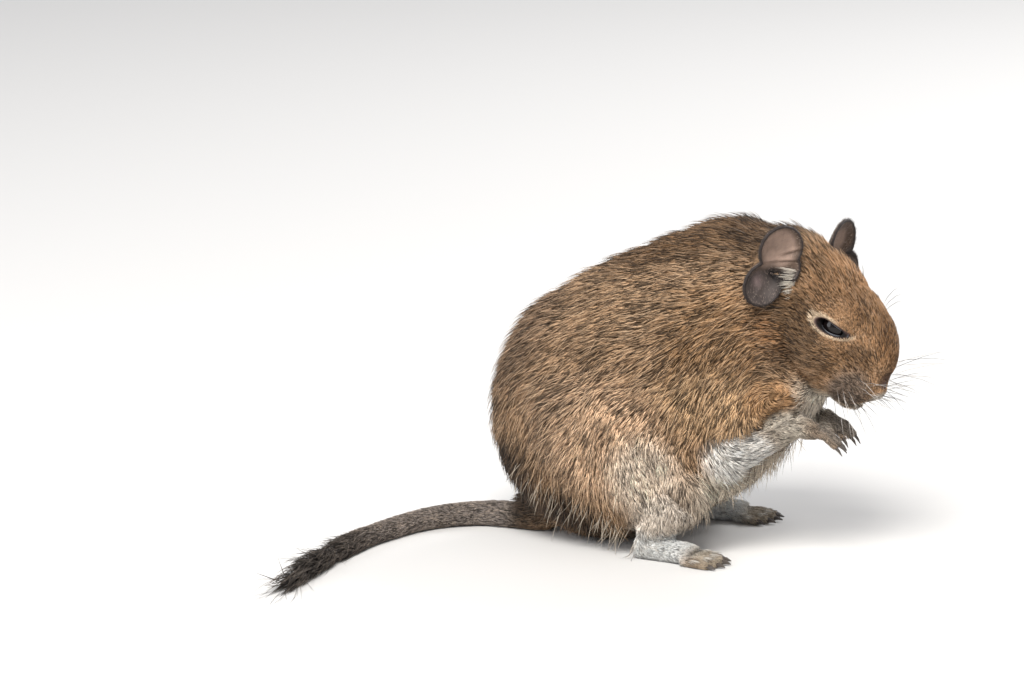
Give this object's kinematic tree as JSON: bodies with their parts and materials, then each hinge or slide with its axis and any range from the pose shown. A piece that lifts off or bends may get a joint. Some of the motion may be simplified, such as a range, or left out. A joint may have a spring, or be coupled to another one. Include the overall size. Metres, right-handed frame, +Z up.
{
  "type": "degu",
  "caption": "Life-size degu crouched on its haunches with forepaws drawn up under the chin, eyes half shut and tufted tail laid along the floor; a still display model.",
  "frame": {"origin": "in the small flat under the rump on which the degu sits, on its middle plane", "axes": "+X forward, the way the body faces, +Y to the degu's left, +Z up"},
  "size_m": [0.1818, 0.1612, 0.1134],
  "materials": {
    "brown_fur": "short dense agouti fur, warm brown ticked with black, matt",
    "pale_fur": "short dense fur, pale buff to grey, matt",
    "foot_fur": "very short whitish hair over grey skin, matt",
    "tail_fur": "grizzled grey-black hair that lengthens to a black tuft, matt",
    "ear_skin": "bare pinkish-grey skin with fine down, soft sheen",
    "eye": "black, wet gloss",
    "claw": "dark horn, satin"
  },
  "bodies": {
    "root": {"torso": "brown_fur", "neck": "brown_fur", "head": "brown_fur", "ear_left": "ear_skin", "ear_right": "ear_skin", "eye_left": "eye", "eye_right": "eye", "foreleg_left": "pale_fur", "foreleg_right": "pale_fur", "forepaw_left": "foot_fur", "forepaw_right": "foot_fur", "hind_leg_left": "pale_fur", "hind_leg_right": "pale_fur", "hind_foot_left": "foot_fur", "hind_foot_right": "foot_fur", "tail_base": "tail_fur", "tail_middle": "tail_fur", "tail_tip": "tail_fur", "claw_fore_left_1": "claw", "claw_fore_left_2": "claw", "claw_fore_left_3": "claw", "claw_fore_left_4": "claw", "claw_fore_right_1": "claw", "claw_fore_right_2": "claw", "claw_fore_right_3": "claw", "claw_fore_right_4": "claw", "claw_hind_left_1": "claw", "claw_hind_left_2": "claw", "claw_hind_left_3": "claw", "claw_hind_left_4": "claw", "claw_hind_left_5": "claw", "claw_hind_right_1": "claw", "claw_hind_right_2": "claw", "claw_hind_right_3": "claw", "claw_hind_right_4": "claw", "claw_hind_right_5": "claw"}
  },
  "joints": []
}
